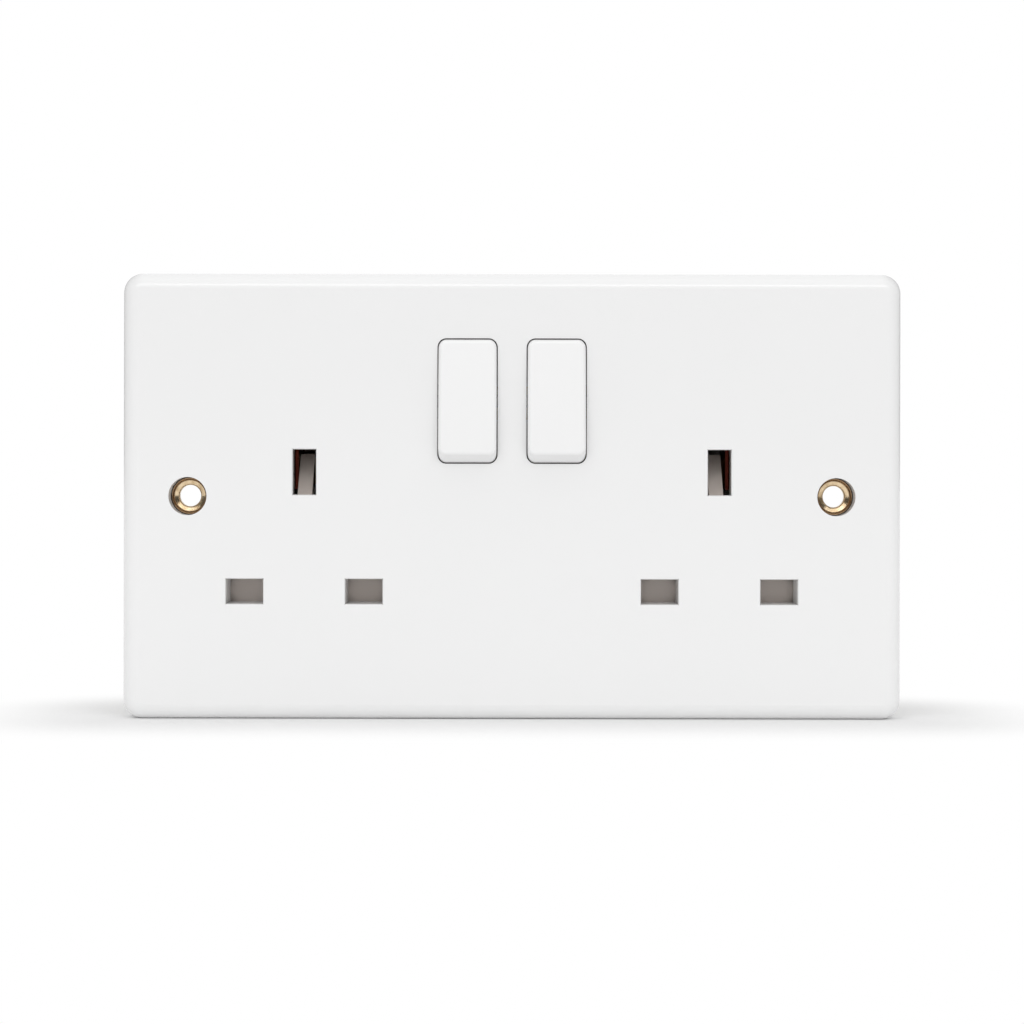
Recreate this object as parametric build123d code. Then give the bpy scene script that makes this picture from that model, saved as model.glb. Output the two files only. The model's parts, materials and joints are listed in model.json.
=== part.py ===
from build123d import *
import math
import os

# Two-gang switched socket for 13 A plugs, in millimetres.
# X runs to the right, Z up and Y into the wall. The origin lies on the wall plane, midway
# between the two fixing holes. Heights are counted off the wall, towards the user, so the
# plate's face is at height 9 and what lies in the wall box has a height below 0.

# Front plate
plate_width = 145.0
plate_height = 83.0
plate_depth = 9.0
plate_corner = 3.6
plate_roll = 2.8
face_wall = 2.5
rim_wall = 2.2
rib_wall = 1.2
rib_depth = 1.6
rib_level = 33.5
rib_offset = 19.6

# Fixing holes and their eyelets
fixing_spacing = 120.6
counterbore_radius = 3.55
counterbore_depth = 4.2
fixing_boss_wall = 0.9
eyelet_bore_radius = 2.0
eyelet_sheet = 0.45
eyelet_rim_radius = 3.35
eyelet_step_radius = 2.85
eyelet_dish_depth = 0.5
eyelet_shelf = 1.2
eyelet_edge = 0.2
seat_gap = 0.05
rim_gap = 0.2

# Plug apertures, to the standard pin pattern
socket_offset = 38.6
earth_level = 4.5
pin_row_drop = 22.2
pin_row_spacing = 22.2
earth_slot_width = 4.35
earth_slot_height = 8.45
pin_slot_width = 6.93
pin_slot_height = 4.65
slot_lip = 0.25
earth_slot_edge = 1.2
earth_slot_relief = 0.35
collar_wall = 1.1
pin_collar_wall = 0.6
earth_collar_depth = 6.8
pin_reach = 17.7
earth_pin_reach = 22.73
earth_pin_height = 8.0
ramp_pin_gap = 0.2

# Rocker switches
rocker_offset = 8.28
rocker_level = 17.75
opening_width = 11.2
opening_height = 23.3
opening_corner = 1.65
rocker_side_gap = 0.2
rocker_end_gap = 0.2
rocker_stand = 2.0
rocker_edge = 0.7
rocker_wall = 1.4
rocker_skirt = 1.0
pivot_depth = 3.8
rocker_tilt = 7.0
trunnion_radius = 1.2
trunnion_length = 1.2
running_gap = 0.05
bearing_wall = 1.4
bearing_half = 3.2
bearing_skirt = 1.5
flag_width = 7.0
flag_sheet = 0.6
flag_height = 2.6
flag_drop = 1.0
stem_radius = 2.1
stem_bore = 1.3
stem_reach = 7.0
plunger_radius = 1.2
plunger_reach = 10.08
plunger_grip = 2.6

# See-saw contacts under the rockers
seesaw_height = -7.4
seesaw_tilt = 5.0
seesaw_width = 5.0
seesaw_length = 17.0
seesaw_sheet = 1.2
fulcrum_radius = 0.5
tip_offset = 7.0
tip_radius = 1.6
tip_sheet = 0.8
contact_gap = 0.1

# Shutters
shutter_gap = 0.3
shutter_sheet = 1.6
shutter_travel = 7.5
shutter_overlap = 0.4
shutter_bar = 3.5
shutter_stem_half = 2.6
shutter_side_gap = 0.3
ramp_width = 2.7
ramp_offset = 0.28
ramp_front = 4.0
ramp_front_gap = 0.4
ramp_side_gap = 0.3
ramp_back_wall = 0.8
ramp_heel = 1.2
ramp_base_drop = 3.0
ramp_shoulder = 2.4
spring_wire = 0.5
shutter_spring_radius = 1.5
shutter_spring_turns = 7
shutter_spring_sink = 1.0
spring_peg_radius = 1.0
spring_peg_length = 2.5
rocker_spring_radius = 0.85
rocker_spring_wire = 0.35
rocker_spring_turns = 5

# Rear housing
base_half_height = 31.0
base_wall = 1.5
base_floor = 2.0
base_front = 2.0
base_back = -16.5
base_corner = 3.0
base_edge = 1.0
cell_wall = 1.2
cell_front = -1.75
earth_cell_gap = 0.3
earth_cell_front = -1.0
window_gap = 0.15
guide_front = 0.1
bay_bottom = 8.0
bay_front = -0.5
cap_gap = 0.1

# Screws that hold the housing to the plate
upper_screw_offset = 50.2
upper_screw_level = 25.5
lower_screw_offset = 19.6
lower_screw_level = -26.9
screw_radius = 1.45
screw_hole_gap = 0.1
screw_boss_radius = 3.0
screw_head_radius = 2.3
screw_head_height = 1.7
screw_seat = -10.0
screw_bite = 3.4
pilot_gap = 0.4

# Strip metal
strip = 0.6
link_height = -10.6
link_width = 2.8
left_link_inset = 13.6
right_link_outset = 6.4
pad_height = 4.8
neutral_bar_drop = 3.8
neutral_bar_width = 2.2
bar_width = 5.0
tab_gap = 0.3
pillar_size = 3.0
pillar_rise = 5.0
leaf_gap_half = 1.8
leaf_lip = 0.9
contact_width = 6.6
contact_front = -2.2
earth_leaf_gap_half = 1.8
earth_leaf_low = 1.2
earth_web_level = 9.0
earth_leaf_front = -0.4
earth_web_step = 6.5

# Terminals
terminal_spacing = 13.0
terminal_width = 7.2
terminal_front = -5.0
terminal_back = -13.0
terminal_low = -20.0
terminal_high = -8.5
wire_height = -9.2
wire_radius = 2.25
wire_bore_length = 10.0
wire_entry_radius = 2.9
terminal_screw_level = -15.0
terminal_screw_radius = 1.75
terminal_screw_head = 2.4
terminal_head_height = 1.6
terminal_screw_travel = 1.6
terminal_pad_wall = 1.3
terminal_edge = 0.3
terminal_rib_length = 14.0
screw_rest_gap = 0.1
driver_gap = 0.3
driver_slot = 0.6

SIDES = {"left": -1, "right": 1}

# Values that follow from those above
pin_level = earth_level - pin_row_drop
under_face = plate_depth - face_wall
floor_height = base_back + base_floor
pivot_height = plate_depth - pivot_depth
opening_radius = math.hypot(opening_height / 2, pivot_depth)
rocker_radius = opening_radius - rocker_end_gap
rocker_width = opening_width - 2 * rocker_side_gap
rocker_front = pivot_depth + rocker_stand
shutter_front = 0.0
shutter_back = shutter_front - shutter_sheet
pin_collar_back = shutter_front + shutter_gap
plate_low = pin_level - pin_slot_height / 2 - shutter_overlap
plate_high = pin_level + pin_slot_height / 2 + shutter_overlap
shutter_outer = pin_row_spacing / 2 + pin_slot_width / 2 + shutter_overlap
shutter_inner = pin_row_spacing / 2 - pin_slot_width / 2 - shutter_overlap
ramp_foot = earth_level - earth_pin_height / 2 - ramp_pin_gap
base_inner_half_width = socket_offset + shutter_outer + shutter_side_gap
base_half_width = base_inner_half_width + base_wall
base_inner_low = -base_half_height + base_wall
base_inner_high = base_half_height - base_wall
fixing_boss_radius = counterbore_radius + fixing_boss_wall
eyelet_seat = plate_depth - counterbore_depth
eyelet_throat = eyelet_seat - eyelet_dish_depth
eyelet_shelf_back = eyelet_throat - eyelet_shelf
eyelet_outer = eyelet_bore_radius + eyelet_sheet
eyelet_roll_radius = eyelet_outer + eyelet_sheet
link_back = link_height - strip
floor_strip = floor_height + strip


def prism(outline, low, high):
    """Solid on an outline drawn in X and Z, between two heights off the wall."""
    return extrude(Plane.XZ.offset(low) * outline, amount=high - low)


def patch(x_low, x_high, z_low, z_high):
    """Rectangle given by its edges."""
    width, height = x_high - x_low, z_high - z_low
    return Pos((x_low + x_high) / 2, (z_low + z_high) / 2) * Rectangle(width, height)


def patch_at(x, z, width, height):
    """Rectangle given by its centre and size."""
    return Pos(x, z) * Rectangle(width, height)


def post(x, z, radius, low, high):
    """Round post that stands off the wall plane."""
    return prism(Pos(x, z) * Circle(radius), low, high)


def rod_x(radius, length):
    """Rod along X, centred on the origin."""
    return Rot(Y=90) * Cylinder(radius, length)


def side_profile(points, width):
    """Solid on an outline of (height, z) points, centred on X = 0."""
    outline = make_face(Polyline([(0, -height, z) for height, z in points], close=True))
    return extrude(outline, amount=width / 2, both=True)


def coil(radius, wire, length, turns):
    """Helical spring that stands on the origin along +Z, with its wire inside the length."""
    rise = length - wire
    path = Pos(0, 0, wire / 2) * Helix(pitch=rise / turns, height=rise, radius=radius)
    section = Plane(origin=path @ 0, z_dir=path % 0) * RegularPolygon(wire / 2, 4)
    return sweep(section, path=path, is_frenet=True)


def pin_slots(side):
    """Centres of the line and neutral pins of one socket, with the line pin on the right."""
    centre = side * socket_offset
    half = pin_row_spacing / 2
    return {"line": (centre + half, pin_level), "neutral": (centre - half, pin_level)}


def puck(radius, width, corner):
    """Wheel about the X axis with rounded rims, the swept form of a rocker's ends."""
    wheel = rod_x(radius, width)
    return fillet(wheel.edges().filter_by(GeomType.CIRCLE), corner)


def at_rocker(side):
    """Place of a rocker's pivot."""
    return Pos(side * rocker_offset, -pivot_height, rocker_level)


def screw_places():
    """Centres of the four screws behind the plate."""
    upper = [(side * upper_screw_offset, upper_screw_level) for side in SIDES.values()]
    lower = [(side * lower_screw_offset, lower_screw_level) for side in SIDES.values()]
    return upper + lower


def slot_cutter(x, z, width, height):
    """Cutter for a plug aperture with a small rounded lip at the plate's face."""
    hole = prism(patch_at(x, z, width, height), -plate_depth, plate_depth)
    lip = extrude(
        Plane.XZ.offset(plate_depth - slot_lip) * patch_at(x, z, width, height),
        amount=slot_lip,
        taper=-30,
    )
    return hole + lip


def front_plate():
    body = prism(RectangleRounded(plate_width, plate_height, plate_corner), 0, plate_depth)
    body = fillet(body.faces().sort_by(Axis.Y)[0].edges(), plate_roll)
    inner_width = plate_width - 2 * rim_wall
    inner_height = plate_height - 2 * rim_wall
    hollow = RectangleRounded(inner_width, inner_height, plate_corner - rim_wall)
    body -= prism(hollow, 0, under_face)

    rib_foot = under_face - rib_depth
    for sign in SIDES.values():
        body += prism(patch_at(0, sign * rib_level, inner_width, rib_wall), rib_foot, under_face)
        body += prism(patch_at(sign * rib_offset, 0, rib_wall, inner_height), rib_foot, under_face)

    bearing_low = pivot_height - trunnion_radius - bearing_skirt
    bearing_x = opening_width / 2 + bearing_wall / 2
    for sign in SIDES.values():
        boss_x = sign * fixing_spacing / 2
        body += post(boss_x, 0, fixing_boss_radius, 0, under_face)
        earth_width = earth_slot_width + 2 * collar_wall
        earth_height = earth_slot_height + 2 * collar_wall
        earth_collar = patch_at(sign * socket_offset, earth_level, earth_width, earth_height)
        collar_back = plate_depth - earth_collar_depth
        body += prism(earth_collar, collar_back, under_face)
        notch_width = ramp_width + 2 * ramp_side_gap
        notch_x = sign * socket_offset - ramp_offset
        notch = patch_at(notch_x, earth_level - earth_slot_height / 2, notch_width, earth_slot_height)
        body -= prism(notch, collar_back, ramp_front + ramp_front_gap)
        for x, z in pin_slots(sign).values():
            pin_width = pin_slot_width + 2 * pin_collar_wall
            collar = patch_at(x, z, pin_width, pin_slot_height + 2 * pin_collar_wall)
            body += prism(collar, pin_collar_back, under_face)
    for x, z in screw_places():
        body += post(x, z, screw_boss_radius, base_front, under_face)
    for sign in SIDES.values():
        for edge in SIDES.values():
            wall_x = sign * rocker_offset + edge * bearing_x
            wall = patch_at(wall_x, rocker_level, bearing_wall, 2 * bearing_half)
            body += prism(wall, bearing_low, under_face)

    way_width = earth_slot_width + 2 * earth_slot_relief
    way_height = earth_slot_height + 2 * earth_slot_relief
    for sign in SIDES.values():
        body -= slot_cutter(sign * socket_offset, earth_level, earth_slot_width, earth_slot_height)
        earth_way = patch_at(sign * socket_offset, earth_level, way_width, way_height)
        body -= prism(earth_way, 0, plate_depth - earth_slot_edge)
        for x, z in pin_slots(sign).values():
            body -= slot_cutter(x, z, pin_slot_width, pin_slot_height)
        body -= at_rocker(sign) * puck(opening_radius, opening_width, opening_corner)
        groove_radius = trunnion_radius + running_gap
        groove_length = opening_width + 2 * bearing_wall
        body -= at_rocker(sign) * rod_x(groove_radius, groove_length)
        throat = patch_at(sign * rocker_offset, rocker_level, groove_length, 2 * groove_radius)
        body -= prism(throat, bearing_low, pivot_height)
        boss_x = sign * fixing_spacing / 2
        body -= post(boss_x, 0, counterbore_radius, eyelet_seat, plate_depth)
        body -= post(boss_x, 0, eyelet_outer + seat_gap, 0, eyelet_seat)
        body -= post(boss_x, 0, eyelet_roll_radius + rim_gap, 0, eyelet_shelf_back - seat_gap)
        dish = Cone(
            eyelet_step_radius + seat_gap,
            eyelet_rim_radius + seat_gap,
            eyelet_dish_depth + seat_gap,
        )
        dish_level = eyelet_throat - seat_gap + (eyelet_dish_depth + seat_gap) / 2
        body -= Pos(boss_x, -dish_level, 0) * Rot(X=90) * dish
    for x, z in screw_places():
        body -= post(x, z, screw_radius + seat_gap, base_front, base_front + screw_bite + pilot_gap)
    return body


def eyelet(side):
    """Brass eyelet: a dished flange, a short barrel and the lip rolled over behind the shelf."""
    roll_back = eyelet_shelf_back - seat_gap - eyelet_sheet
    profile = [
        (eyelet_bore_radius, eyelet_throat + eyelet_sheet),
        (eyelet_step_radius, eyelet_throat + eyelet_sheet),
        (eyelet_rim_radius - eyelet_edge, eyelet_seat + eyelet_sheet),
        (eyelet_rim_radius, eyelet_seat + eyelet_sheet - eyelet_edge),
        (eyelet_rim_radius, eyelet_seat),
        (eyelet_step_radius, eyelet_throat),
        (eyelet_outer, eyelet_throat),
        (eyelet_outer, eyelet_shelf_back - seat_gap),
        (eyelet_roll_radius, eyelet_shelf_back - seat_gap),
        (eyelet_roll_radius, roll_back),
        (eyelet_outer, roll_back),
        (eyelet_bore_radius, eyelet_shelf_back),
    ]
    section = make_face(Polyline([(radius, -height, 0) for radius, height in profile], close=True))
    ring = revolve(section, axis=Axis.Y)
    circles = ring.edges().filter_by(GeomType.CIRCLE)
    mouth = circles.group_by(SortBy.RADIUS)[0].sort_by(Axis.Y)[0]
    return Pos(side * fixing_spacing / 2, 0, 0) * fillet(mouth, 2 * eyelet_edge)


def flag_form(side_gap):
    """Curved strip at the top end of a rocker, in the rocker's own frame."""
    ring = rod_x(rocker_radius, flag_width + 2 * side_gap)
    ring -= rod_x(rocker_radius - flag_sheet - side_gap, rocker_width)
    top = rocker_front - flag_drop + side_gap
    bottom = rocker_front - flag_drop - flag_height - side_gap
    slab = prism(patch_at(0, rocker_radius, rocker_width, rocker_radius), bottom, top)
    return ring & slab


def rocker(side):
    body = puck(rocker_radius, rocker_width, opening_corner - rocker_side_gap)
    reach = 2 * opening_radius
    body &= prism(Rectangle(reach, reach), -rocker_skirt, rocker_front)
    body = fillet(body.faces().sort_by(Axis.Y)[0].edges(), rocker_edge)
    inner_corner = opening_corner - rocker_side_gap - rocker_wall / 2
    inner = puck(rocker_radius - rocker_wall, rocker_width - 2 * rocker_wall, inner_corner)
    inner &= prism(Rectangle(reach, reach), -rocker_radius, rocker_front - rocker_wall)
    body -= inner
    body += rod_x(trunnion_radius, rocker_width + 2 * trunnion_length) - rod_x(
        2 * trunnion_radius, rocker_width - 2 * rocker_wall
    )
    body += post(0, 0, stem_radius, -stem_reach, rocker_front - rocker_wall)
    body -= post(0, 0, stem_bore, -stem_reach, rocker_front - 2 * rocker_wall)
    body -= flag_form(0)
    return at_rocker(side) * Rot(X=-rocker_tilt) * body


def on_flag(side):
    return at_rocker(side) * Rot(X=-rocker_tilt) * flag_form(0)


def plunger_top():
    """Depth of the plunger's upper end below the pivot."""
    return stem_reach - plunger_grip


def plunger(side):
    body = post(0, 0, plunger_radius, -plunger_reach, -plunger_top())
    body += Pos(0, plunger_reach, 0) * Sphere(plunger_radius)
    return at_rocker(side) * Rot(X=-rocker_tilt) * body


def rocker_spring(side):
    ceiling = rocker_front - 2 * rocker_wall
    length = plunger_top() + ceiling
    spring = coil(rocker_spring_radius, rocker_spring_wire, length, rocker_spring_turns)
    stand = Pos(0, plunger_top(), 0) * Rot(X=90) * spring
    return at_rocker(side) * Rot(X=-rocker_tilt) * stand


def at_seesaw(side):
    """Place of a see-saw's pivot edge."""
    return Pos(side * rocker_offset, -seesaw_height, rocker_level)


def moving_contact(side):
    half = seesaw_length / 2
    body = prism(Rectangle(seesaw_width, seesaw_length), 0, seesaw_sheet)
    ends = body.edges().filter_by(Axis.Y)
    body = fillet(ends, seesaw_width / 4)
    body -= rod_x(fulcrum_radius + running_gap, 2 * seesaw_width)
    return at_seesaw(side) * Rot(X=seesaw_tilt) * body


def moving_tip(side):
    body = post(0, tip_offset, tip_radius, -tip_sheet, 0)
    return at_seesaw(side) * Rot(X=seesaw_tilt) * body


def fixed_tip(side):
    """Silver stud that the moving tip meets when the rocker is on."""
    drop = tip_offset * math.sin(math.radians(seesaw_tilt))
    tip_turn = tip_radius * math.sin(math.radians(seesaw_tilt))
    top = seesaw_height - drop - tip_sheet - tip_turn - contact_gap
    body = post(side * rocker_offset, rocker_level + tip_offset, tip_radius, link_height, top)
    return fillet(body.edges().group_by(Axis.Y)[0], tip_sheet / 4)


def line_bar_outline():
    """Flat of the bar from the line terminal to both fulcrums."""
    low = rocker_level - bearing_half
    high = rocker_level + bearing_half
    half = bar_width / 2
    bar = patch(-rocker_offset - half, terminal_spacing + half, low, high)
    bar += patch(terminal_spacing - half, terminal_spacing + half, terminal_high, low)
    return bar


def line_bar():
    body = prism(line_bar_outline(), link_back, link_height)
    for sign in SIDES.values():
        x = sign * rocker_offset
        width = seesaw_width - 2 * strip
        tab = patch_at(x, rocker_level, width, 2 * fulcrum_radius)
        body += prism(tab, link_height, seesaw_height)
        body += at_seesaw(sign) * rod_x(fulcrum_radius, width)
    return body


def link_outline(side):
    """Flat of the strip from a switch's fixed tip to that socket's line contact."""
    start_x = side * rocker_offset
    tip_z = rocker_level + tip_offset
    half = bar_width / 2
    x, z = pin_slots(side)["line"]
    middle = side * socket_offset + (left_link_inset if side < 0 else right_link_outset)
    run_low, run_high = middle - link_width / 2, middle + link_width / 2
    outer = run_low if side < 0 else run_high
    across = patch(*sorted((start_x - side * half, outer)), tip_z - half, tip_z + half)
    down = patch(run_low, run_high, z, tip_z + half)
    pad_low = min(x - contact_width / 2, run_low)
    pad_high = max(x + contact_width / 2, run_high)
    return across + down + patch(pad_low, pad_high, z - pad_height / 2, z + pad_height / 2)


def line_link(side):
    return prism(link_outline(side), link_back, link_height)


def pin_contact(x, z, foot):
    """Folded contact whose two leaves grip a pin from above and below."""
    inner = leaf_gap_half
    outer = inner + strip
    lip = outer + leaf_lip / 2
    profile = [
        (foot, -outer),
        (contact_front - leaf_lip, -outer),
        (contact_front, -lip),
        (contact_front, -lip + strip),
        (contact_front - leaf_lip, -inner),
        (foot + strip, -inner),
        (foot + strip, inner),
        (contact_front - leaf_lip, inner),
        (contact_front, lip - strip),
        (contact_front, lip),
        (contact_front - leaf_lip, outer),
        (foot, outer),
    ]
    return Pos(x, 0, z) * side_profile(profile, contact_width)


def line_contact(side):
    x, z = pin_slots(side)["line"]
    return pin_contact(x, z, link_height)


def neutral_contact(side):
    x, z = pin_slots(side)["neutral"]
    return pin_contact(x, z, floor_strip)


def neutral_bar_outline():
    """Flat of the bar that joins both neutral contacts to their terminal."""
    left = pin_slots(-1)["neutral"]
    right = pin_slots(1)["neutral"]
    pad_half = contact_width / 2
    top = pin_level - neutral_bar_drop
    bottom = top - neutral_bar_width
    bar = patch(left[0] - pad_half, right[0] + pad_half, bottom, top)
    for x, z in (left, right):
        bar += patch(x - pad_half, x + pad_half, bottom, z + pad_height / 2)
    half = bar_width / 2
    bar += patch(-terminal_spacing - half, -terminal_spacing + half, bottom, terminal_low)
    return bar


def neutral_bar():
    body = prism(neutral_bar_outline(), floor_height, floor_strip)
    half = bar_width / 2
    tab = patch(
        -terminal_spacing - half, -terminal_spacing + half, terminal_low - strip, terminal_low
    )
    tab_top = wire_height - wire_radius - tab_gap
    return body + prism(tab, floor_height, tab_top)


def earth_strap_outline():
    """Flat of the strap that joins both earth contacts to the earth terminal."""
    half = bar_width / 2
    reach = socket_offset + earth_leaf_gap_half + strip
    strap = patch(-reach, reach, earth_level - half, earth_level + half)
    return strap + patch(-half, half, terminal_high, earth_level)


def earth_strap():
    body = prism(earth_strap_outline(), floor_height, floor_strip)
    half = bar_width / 2
    tab = patch(-half, half, terminal_high, terminal_high + strip)
    return body + prism(tab, floor_height, wire_height)


def earth_contact(side):
    """Folded contact, open towards the pin row, whose leaves grip the earth pin's sides."""
    inner = earth_leaf_gap_half
    outer = inner + strip
    web_top = earth_web_level + strip
    fold = patch(-outer, outer, earth_leaf_low, web_top)
    fold -= patch(-inner, inner, earth_leaf_low, earth_web_level)
    body = prism(fold, floor_strip, earth_leaf_front)
    web_cut = patch(-inner, inner, earth_web_level, web_top)
    body -= prism(web_cut, earth_leaf_front - earth_web_step, earth_leaf_front)
    return Pos(side * socket_offset, 0, 0) * body


def shutter(side):
    """Sliding shutter: two closing plates on a bar, and a stem with the earth pin's ramp."""
    bar_high = plate_high + shutter_bar
    outline = patch(-shutter_outer, shutter_outer, plate_high, bar_high)
    for sign in SIDES.values():
        edges = sorted((sign * shutter_inner, sign * shutter_outer))
        outline += patch(*edges, plate_low, plate_high)
    stem_top = ramp_foot - ramp_base_drop
    outline += patch(-shutter_stem_half, shutter_stem_half, bar_high, stem_top)
    body = prism(outline, shutter_back, shutter_front)
    ramp_top = ramp_foot + shutter_travel
    ramp_back = ramp_front - shutter_travel
    profile = [
        (ramp_front, ramp_foot),
        (ramp_back, ramp_top),
        (ramp_back - ramp_back_wall, ramp_top),
        (ramp_back - ramp_back_wall, ramp_top - 2 * ramp_back_wall),
        (shutter_back, ramp_foot - ramp_heel),
        (shutter_back, stem_top - ramp_shoulder),
        (shutter_front, stem_top - ramp_shoulder),
        (ramp_front, stem_top),
    ]
    body += Pos(-ramp_offset, 0, 0) * side_profile(profile, ramp_width)
    peg = Pos(0, shutter_spring_sink, plate_high - spring_peg_length / 2) * Cylinder(
        spring_peg_radius, spring_peg_length
    )
    seat = patch_at(0, plate_high + shutter_bar / 2, 2 * shutter_stem_half, shutter_bar)
    body += prism(seat, -shutter_spring_sink - spring_peg_radius, shutter_front)
    body += peg
    return Pos(side * socket_offset, 0, 0) * body


def shutter_spring(side):
    low = base_inner_low + running_gap
    length = plate_high - running_gap - low
    spring = coil(shutter_spring_radius, spring_wire, length, shutter_spring_turns)
    return Pos(side * socket_offset, shutter_spring_sink, low) * spring


def terminal_xs():
    """Terminal places along X: neutral, earth and line, from the left."""
    return {"neutral": -terminal_spacing, "earth": 0.0, "line": terminal_spacing}


def terminal(x):
    """Brass tunnel terminal with a blind wire bore from below and a tapped hole behind."""
    half = terminal_width / 2
    block = prism(patch(-half, half, terminal_low, terminal_high), terminal_back, terminal_front)
    block = chamfer(block.edges(), terminal_edge)
    bore_z = terminal_low + wire_bore_length / 2
    block -= Pos(0, -wire_height, bore_z) * Cylinder(wire_radius, wire_bore_length)
    tapped = terminal_screw_radius + running_gap
    block -= post(0, terminal_screw_level, tapped, terminal_back, wire_height)
    return Pos(x, 0, 0) * block


def terminal_screw(x):
    tip = wire_height - wire_radius - screw_rest_gap
    head_front = terminal_back - terminal_screw_travel - screw_rest_gap
    head_back = head_front - terminal_head_height
    body = post(0, terminal_screw_level, terminal_screw_radius, head_front, tip)
    body += post(0, terminal_screw_level, terminal_screw_head, head_back, head_front)
    slot = patch_at(0, terminal_screw_level, 3 * terminal_screw_head, driver_slot)
    body -= prism(slot, head_back, head_back + driver_slot)
    return Pos(x, 0, 0) * body


def base_screws():
    """Four pan-head screws that hold the housing to the plate's posts, as one group."""
    screws = []
    for x, z in screw_places():
        body = post(x, z, screw_radius, screw_seat, base_front + screw_bite)
        head = post(x, z, screw_head_radius, screw_seat - screw_head_height, screw_seat)
        head = fillet(head.edges().group_by(Axis.Y)[-1], screw_head_height / 3)
        cross_low = screw_seat - screw_head_height
        for turn in (0, 90):
            arm = Pos(x, z) * Rot(Z=turn) * Rectangle(2 * screw_radius, driver_slot)
            head -= prism(arm, cross_low, cross_low + driver_slot)
        screws.append(body + head)
    return Compound(children=screws)


def base_moulding():
    width, height = 2 * base_half_width, 2 * base_half_height
    body = prism(RectangleRounded(width, height, base_corner), base_back, base_front)
    body = fillet(body.faces().sort_by(Axis.Y)[-1].edges(), base_edge)
    inner_width = width - 2 * base_wall
    inner_height = height - 2 * base_wall
    hollow = RectangleRounded(inner_width, inner_height, base_corner - base_wall)
    body -= prism(hollow, floor_height, base_front)

    walls = []
    cell_half_width = contact_width / 2 + cell_wall / 2
    cell_half_height = leaf_gap_half + strip + leaf_lip
    for sign in SIDES.values():
        for x, z in pin_slots(sign).values():
            outer = patch_at(
                x, z, 2 * (cell_half_width + cell_wall), 2 * (cell_half_height + cell_wall)
            )
            outer -= patch_at(x, z, 2 * cell_half_width, 2 * cell_half_height)
            outer &= patch(-base_inner_half_width, base_inner_half_width, base_inner_low, 0)
            walls.append(prism(outer, floor_height, cell_front))
        centre = sign * socket_offset
        cheek = earth_leaf_gap_half + strip + earth_cell_gap
        cell_top = earth_web_level + strip + earth_cell_gap
        cell = patch(
            centre - cheek - cell_wall, centre + cheek + cell_wall, 0, cell_top + cell_wall
        )
        cell -= patch(centre - cheek, centre + cheek, 0, cell_top)
        walls.append(prism(cell, floor_height, earth_cell_front))
        guide = sign * (socket_offset - shutter_outer - shutter_side_gap)
        edges = sorted((guide, guide - sign * cell_wall))
        guide_top = plate_high + shutter_bar
        walls.append(
            prism(patch(*edges, base_inner_low, guide_top), floor_height, guide_front)
        )
        peg = Cylinder(spring_peg_radius, spring_peg_length)
        walls.append(
            Pos(centre, shutter_spring_sink, base_inner_low + spring_peg_length / 2) * peg
        )
        for edge in SIDES.values():
            wall_x = sign * rocker_offset + edge * (opening_width / 2 + bearing_wall / 2)
            bay = patch(
                wall_x - bearing_wall / 2, wall_x + bearing_wall / 2, bay_bottom, base_inner_high
            )
            walls.append(prism(bay, floor_height, bay_front))
            cap_half = trunnion_radius - cap_gap
            cap = patch_at(wall_x, rocker_level, bearing_wall, 2 * cap_half)
            cap_top = pivot_height - trunnion_radius - cap_gap
            walls.append(prism(cap, bay_front, cap_top))
    for x, z in screw_places():
        walls.append(post(x, z, screw_boss_radius, floor_height, base_front))
    for x in terminal_xs().values():
        pad_radius = terminal_screw_head + terminal_pad_wall
        walls.append(post(x, terminal_screw_level, pad_radius, floor_height, terminal_back))
    for wall_x in (-terminal_spacing / 2, terminal_spacing / 2):
        rib = patch_at(wall_x, (terminal_low + terminal_high) / 2, cell_wall, terminal_rib_length)
        walls.append(prism(rib, floor_height, terminal_front))
    for wall in walls:
        body += wall

    cuts = [(line_bar_outline(), link_back, link_height)]
    cuts += [(link_outline(sign), link_back, link_height) for sign in SIDES.values()]
    cuts += [(neutral_bar_outline(), floor_height, floor_strip)]
    cuts += [(earth_strap_outline(), floor_height, floor_strip)]
    for outline, low, high in cuts:
        wide = offset(outline, amount=window_gap, kind=Kind.INTERSECTION)
        body -= prism(wide, low, high + window_gap)

    pillars = []
    for sign in SIDES.values():
        x, z = pin_slots(sign)["line"]
        pillars.append(patch_at(x, z, contact_width, 2 * leaf_gap_half))
        for level in (rocker_level, rocker_level + tip_offset):
            pillars.append(patch_at(sign * rocker_offset, level, pillar_size, pillar_size))
    rise = terminal_high + pillar_rise
    pillars.append(patch_at(terminal_spacing, rise, pillar_size, pillar_size))
    for pillar in pillars:
        body += prism(pillar, floor_height, link_back)

    for x, z in screw_places():
        body -= post(x, z, screw_radius + screw_hole_gap, base_back, base_front)
        body -= post(x, z, screw_head_radius + screw_hole_gap, base_back, screw_seat)
    for x in terminal_xs().values():
        access = terminal_screw_head + driver_gap
        body -= post(x, terminal_screw_level, access, base_back, terminal_back)
        entry = Cylinder(wire_entry_radius, 3 * base_wall)
        body -= Pos(x, -wire_height, -base_half_height + base_wall / 2) * entry
    return body


def all_pieces():
    """Every piece of the socket by its name."""
    pieces = {
        "front_plate": front_plate(),
        "base_moulding": base_moulding(),
        "base_screws": base_screws(),
        "line_bar": line_bar(),
        "neutral_bar": neutral_bar(),
        "earth_strap": earth_strap(),
    }
    for name, x in terminal_xs().items():
        pieces[name + "_terminal"] = terminal(x)
        pieces[name + "_terminal_screw"] = terminal_screw(x)
    paired = [
        eyelet,
        rocker,
        on_flag,
        plunger,
        rocker_spring,
        moving_contact,
        moving_tip,
        fixed_tip,
        line_link,
        line_contact,
        neutral_contact,
        earth_contact,
        shutter,
        shutter_spring,
    ]
    for make in paired:
        for side, sign in SIDES.items():
            pieces[make.__name__ + "_" + side] = make(sign)
    return pieces


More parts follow.
